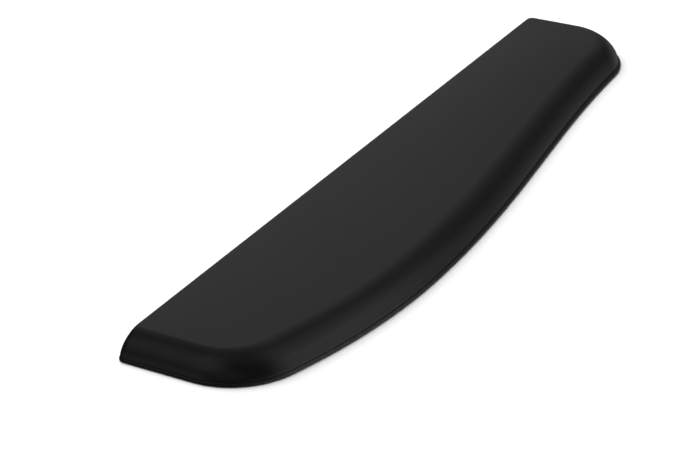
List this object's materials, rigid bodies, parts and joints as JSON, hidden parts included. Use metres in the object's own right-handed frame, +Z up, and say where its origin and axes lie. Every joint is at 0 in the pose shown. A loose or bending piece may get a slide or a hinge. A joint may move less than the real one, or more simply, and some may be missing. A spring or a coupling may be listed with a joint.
{
  "type": "keyboard wrist rest",
  "caption": "Low, long cushioned wrist rest with a straight back edge, a curved front edge, rounded shoulders and a thin moulded base with rubber feet.",
  "frame": {"origin": "middle of the base's box, on the surface that the rest stands on", "axes": "+X along the rest towards its narrow end, +Y towards the keyboard, +Z up"},
  "size_m": [0.445, 0.101, 0.0153],
  "materials": {
    "cover": "satin black leatherette with a very fine grain",
    "base": "satin black moulded plastic with a fine spark texture",
    "feet": "matt black rubber",
    "adhesive": "clear amber double-sided film",
    "board": "grey extruded sheet, matt",
    "foam": "charcoal open-cell polyurethane foam",
    "film": "thin milky polyurethane film",
    "gel": "clear blue polyurethane gel, glossy"
  },
  "bodies": {
    "root": {"base_plate": "base", "foot_back_left": "feet", "foot_back_middle": "feet", "foot_back_right": "feet", "foot_front_left": "feet", "foot_front_middle": "feet", "foot_front_right": "feet", "board_adhesive": "adhesive", "carrier_board": "board", "foam_adhesive": "adhesive", "foam_core": "foam", "gel_bottom_film": "film", "gel_pad": "gel", "gel_top_film": "film", "cover_skin": "cover"}
  },
  "joints": []
}
